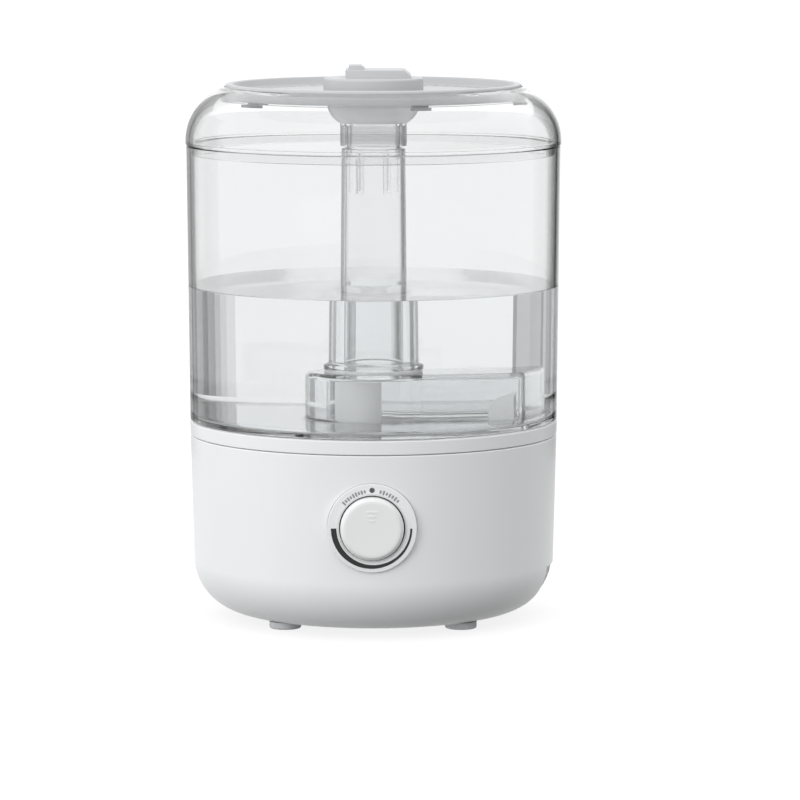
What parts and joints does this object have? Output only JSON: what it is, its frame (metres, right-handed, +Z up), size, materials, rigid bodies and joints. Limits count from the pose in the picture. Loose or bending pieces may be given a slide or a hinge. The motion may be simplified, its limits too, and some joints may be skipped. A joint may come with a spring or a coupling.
{
  "type": "cool mist humidifier",
  "caption": "Round cool mist humidifier with a white base and control knob, clear lift-off water tank with central chimney, domed fill lid and turning mist nozzle.",
  "frame": {"origin": "on the floor under the body axis, at the level of the rubber feet's undersides", "axes": "+Z up along the tank and chimney axis; the control knob faces -Y; the air intake faces +X"},
  "size_m": [0.19, 0.1928, 0.28],
  "materials": {
    "white_shell": "satin",
    "cover_white": "satin",
    "knob_white": "satin",
    "clear_plastic": "gloss",
    "frosted_plastic": "satin",
    "grey_plastic": "matte",
    "foam": "matte",
    "level_black": "matte",
    "soft_rubber": "matte",
    "silicone": "satin",
    "steel": "satin",
    "magnet": "satin",
    "circuit_green": "satin",
    "light": "gloss",
    "float_blue": "matte",
    "clip_grey": "satin"
  },
  "bodies": {
    "base": {"air_duct": "white_shell", "air_filter": "foam", "air_grille": "grey_plastic", "air_hood": "white_shell", "base_shell": "white_shell", "board_standoff_1": "steel", "board_standoff_2": "steel", "board_standoff_3": "steel", "board_standoff_4": "steel", "bottom_cover": "white_shell", "case_screw_1": "steel", "case_screw_2": "steel", "case_screw_3": "steel", "case_screw_4": "steel", "control_board": "circuit_green", "control_ring": "white_shell", "driver_board": "circuit_green", "fan_housing": "grey_plastic", "float_post": "white_shell", "indicator_light": "light", "indicator_window": "clear_plastic", "level_mark": "level_black", "mist_guide": "white_shell", "potentiometer": "grey_plastic", "power_socket": "grey_plastic", "rubber_foot_1": "soft_rubber", "rubber_foot_2": "soft_rubber", "rubber_foot_3": "soft_rubber", "rubber_foot_4": "soft_rubber", "socket_pin": "steel", "transducer_disc": "steel", "transducer_gasket": "silicone", "transducer_holder": "grey_plastic", "valve_pin": "white_shell", "water_tray": "white_shell"},
    "fan": {"fan_rotor": "grey_plastic"},
    "water_float": {"level_float": "float_blue", "float_magnet": "magnet"},
    "control_dial": {"knob": "knob_white", "knob_shaft": "steel"},
    "tank": {"tank_wall": "clear_plastic", "tank_floor": "clear_plastic", "chimney_seal": "silicone", "chimney": "clear_plastic", "valve_cage": "clear_plastic", "valve_spring": "steel"},
    "valve": {"valve_plunger": "grey_plastic", "valve_seal": "silicone"},
    "lid": {"lid_dome": "clear_plastic", "top_cover": "cover_white", "mist_cup": "frosted_plastic", "mist_collar": "clear_plastic", "mist_sleeve": "clear_plastic", "cover_clip_1": "clip_grey", "cover_clip_2": "clip_grey", "cover_clip_3": "clip_grey", "cover_clip_4": "clip_grey", "cover_clip_5": "clip_grey"},
    "mist_nozzle": {"nozzle": "cover_white"}
  },
  "joints": [
    {"name": "tank_lift", "type": "slide", "parent": "base", "child": "tank", "axis": [0, 0, 1], "range_m": [0, 0.06]},
    {"name": "lid_lift", "type": "slide", "parent": "tank", "child": "lid", "axis": [0, 0, 1], "range_m": [0, 0.045]},
    {"name": "nozzle_turn", "type": "hinge", "parent": "lid", "child": "mist_nozzle", "pos_m": [0, 0, 0.27], "axis": [0, 0, 1], "continuous": true},
    {"name": "knob_turn", "type": "hinge", "parent": "base", "child": "control_dial", "pos_m": [0, -0.09, 0.0575], "axis": [0, 1, 0], "range_deg": [0, 270]},
    {"name": "fan_spin", "type": "hinge", "parent": "base", "child": "fan", "pos_m": [0.058, 0, 0.045], "axis": [0, 0, 1], "continuous": true},
    {"name": "float_rise", "type": "slide", "parent": "base", "child": "water_float", "axis": [0, 0, 1], "range_m": [0, 0.012]},
    {"name": "valve_open", "type": "slide", "parent": "tank", "child": "valve", "axis": [0, 0, 1], "range_m": [0, 0.003], "stiffness_N_per_m": 120, "springref_m": -0.004, "deforming": ["valve_spring"]}
  ]
}
